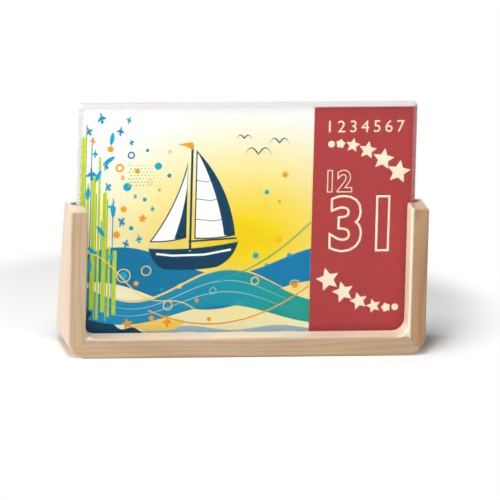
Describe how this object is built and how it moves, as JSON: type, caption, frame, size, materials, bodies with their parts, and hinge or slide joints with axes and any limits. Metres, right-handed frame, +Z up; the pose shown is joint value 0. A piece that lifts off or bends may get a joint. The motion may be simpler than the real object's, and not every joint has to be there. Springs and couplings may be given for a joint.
{
  "type": "desk calendar",
  "caption": "Wooden U-shaped desk stand whose groove holds a stack of loose calendar cards upright between two clear sheets.",
  "frame": {"origin": "middle of the frame's footprint, on the surface it stands on", "axes": "+X to the right seen from the front, +Y to the back, +Z up; the printed front of the cards faces -Y"},
  "size_m": [0.2232, 0.054, 0.1561],
  "materials": {
    "beech": "sanded, clear matt lacquer",
    "dowel_beech": "plain turned",
    "clear_acrylic": "clear cast acrylic, with a satin bevel on the front sheet",
    "printed_cover": "coated board, offset printed, silk",
    "printed_months": "coated board, offset printed, silk"
  },
  "bodies": {
    "frame": {"bottom_rail": "beech", "left_upright": "beech", "right_upright": "beech", "left_front_dowel": "dowel_beech", "right_front_dowel": "dowel_beech", "left_rear_dowel": "dowel_beech", "right_rear_dowel": "dowel_beech"},
    "clear_front_sheet": {"clear_front_sheet": "clear_acrylic"},
    "cover_card": {"cover_card": "printed_cover"},
    "month_card_01": {"month_card_01": "printed_months"},
    "month_card_02": {"month_card_02": "printed_months"},
    "month_card_03": {"month_card_03": "printed_months"},
    "month_card_04": {"month_card_04": "printed_months"},
    "month_card_05": {"month_card_05": "printed_months"},
    "month_card_06": {"month_card_06": "printed_months"},
    "month_card_07": {"month_card_07": "printed_months"},
    "month_card_08": {"month_card_08": "printed_months"},
    "month_card_09": {"month_card_09": "printed_months"},
    "month_card_10": {"month_card_10": "printed_months"},
    "month_card_11": {"month_card_11": "printed_months"},
    "month_card_12": {"month_card_12": "printed_months"},
    "clear_back_sheet": {"clear_back_sheet": "clear_acrylic"}
  },
  "joints": [
    {"name": "lift_clear_front_sheet", "type": "slide", "parent": "frame", "child": "clear_front_sheet", "axis": [0, 0, 1], "range_m": [0, 0.095]},
    {"name": "lift_cover_card", "type": "slide", "parent": "frame", "child": "cover_card", "axis": [0, 0, 1], "range_m": [0, 0.095]},
    {"name": "lift_month_card_01", "type": "slide", "parent": "frame", "child": "month_card_01", "axis": [0, 0, 1], "range_m": [0, 0.095]},
    {"name": "lift_month_card_02", "type": "slide", "parent": "frame", "child": "month_card_02", "axis": [0, 0, 1], "range_m": [0, 0.095]},
    {"name": "lift_month_card_03", "type": "slide", "parent": "frame", "child": "month_card_03", "axis": [0, 0, 1], "range_m": [0, 0.095]},
    {"name": "lift_month_card_04", "type": "slide", "parent": "frame", "child": "month_card_04", "axis": [0, 0, 1], "range_m": [0, 0.095]},
    {"name": "lift_month_card_05", "type": "slide", "parent": "frame", "child": "month_card_05", "axis": [0, 0, 1], "range_m": [0, 0.095]},
    {"name": "lift_month_card_06", "type": "slide", "parent": "frame", "child": "month_card_06", "axis": [0, 0, 1], "range_m": [0, 0.095]},
    {"name": "lift_month_card_07", "type": "slide", "parent": "frame", "child": "month_card_07", "axis": [0, 0, 1], "range_m": [0, 0.095]},
    {"name": "lift_month_card_08", "type": "slide", "parent": "frame", "child": "month_card_08", "axis": [0, 0, 1], "range_m": [0, 0.095]},
    {"name": "lift_month_card_09", "type": "slide", "parent": "frame", "child": "month_card_09", "axis": [0, 0, 1], "range_m": [0, 0.095]},
    {"name": "lift_month_card_10", "type": "slide", "parent": "frame", "child": "month_card_10", "axis": [0, 0, 1], "range_m": [0, 0.095]},
    {"name": "lift_month_card_11", "type": "slide", "parent": "frame", "child": "month_card_11", "axis": [0, 0, 1], "range_m": [0, 0.095]},
    {"name": "lift_month_card_12", "type": "slide", "parent": "frame", "child": "month_card_12", "axis": [0, 0, 1], "range_m": [0, 0.095]},
    {"name": "lift_clear_back_sheet", "type": "slide", "parent": "frame", "child": "clear_back_sheet", "axis": [0, 0, 1], "range_m": [0, 0.095]}
  ]
}
